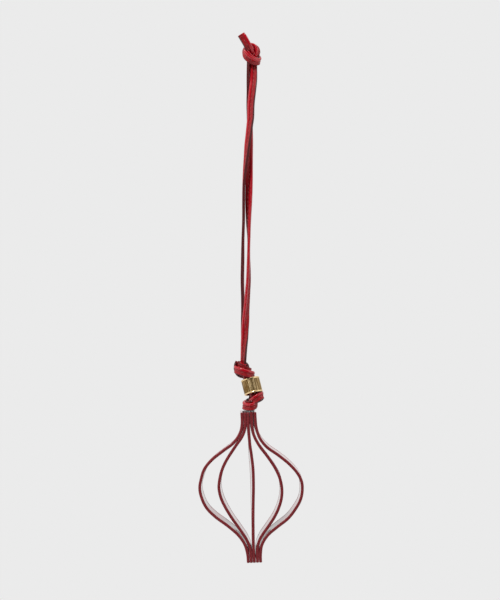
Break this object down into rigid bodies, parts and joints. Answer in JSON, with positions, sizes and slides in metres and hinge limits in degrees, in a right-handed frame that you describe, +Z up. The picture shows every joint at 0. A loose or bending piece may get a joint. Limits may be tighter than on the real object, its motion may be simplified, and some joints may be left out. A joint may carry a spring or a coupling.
{
  "type": "hanging leather charm",
  "caption": "Open onion-shaped charm of bent leather strips that hangs on a knotted, doubled leather lace with a fluted brass bead.",
  "frame": {"origin": "the hang point inside the loop of the lace, just under its top knot", "axes": "+Z up along the hanging charm, -Y towards the viewer of the picture, +X to the viewer's right"},
  "size_m": [0.0595, 0.0147, 0.301],
  "materials": {
    "strip_leather": "two bonded layers with red glazed faces and maroon painted edges",
    "lace_leather": "glossy red strap folded lengthwise, one row of stitches, maroon painted open edge",
    "bead_brass": "fine lengthwise flutes between polished rims"
  },
  "bodies": {
    "top": {"top_knot": "lace_leather", "tail_back": "lace_leather", "tail_front": "lace_leather"},
    "loop": {"strand_left": "lace_leather", "strand_right": "lace_leather"},
    "knots": {"bead_knot": "lace_leather", "core": "lace_leather", "lower_knot": "lace_leather", "bight": "lace_leather"},
    "bead": {"bead": "bead_brass"},
    "lantern": {"strip_outer_left": "strip_leather", "strip_inner_left": "strip_leather", "strip_middle": "strip_leather", "strip_inner_right": "strip_leather", "strip_outer_right": "strip_leather"}
  },
  "joints": [
    {"name": "fore_aft_swing", "type": "hinge", "parent": "top", "child": "loop", "pos_m": [0, 0.0005, 0.0035], "axis": [1, 0, 0], "range_deg": [-30, 30], "deforming": ["strand_left", "strand_right"]},
    {"name": "side_swing", "type": "hinge", "parent": "loop", "child": "knots", "pos_m": [-0.004, 0, -0.155], "axis": [0, 1, 0], "range_deg": [-35, 35], "deforming": ["strand_left", "strand_right"]},
    {"name": "bead_spin", "type": "hinge", "parent": "knots", "child": "bead", "pos_m": [0.0005, 0, -0.1802], "axis": [-0.2423, 0.225, 0.9438], "continuous": true},
    {"name": "lantern_rock", "type": "hinge", "parent": "knots", "child": "lantern", "pos_m": [-0.00162, 0, -0.20061], "axis": [1, 0, 0], "range_deg": [-8, 8]}
  ]
}
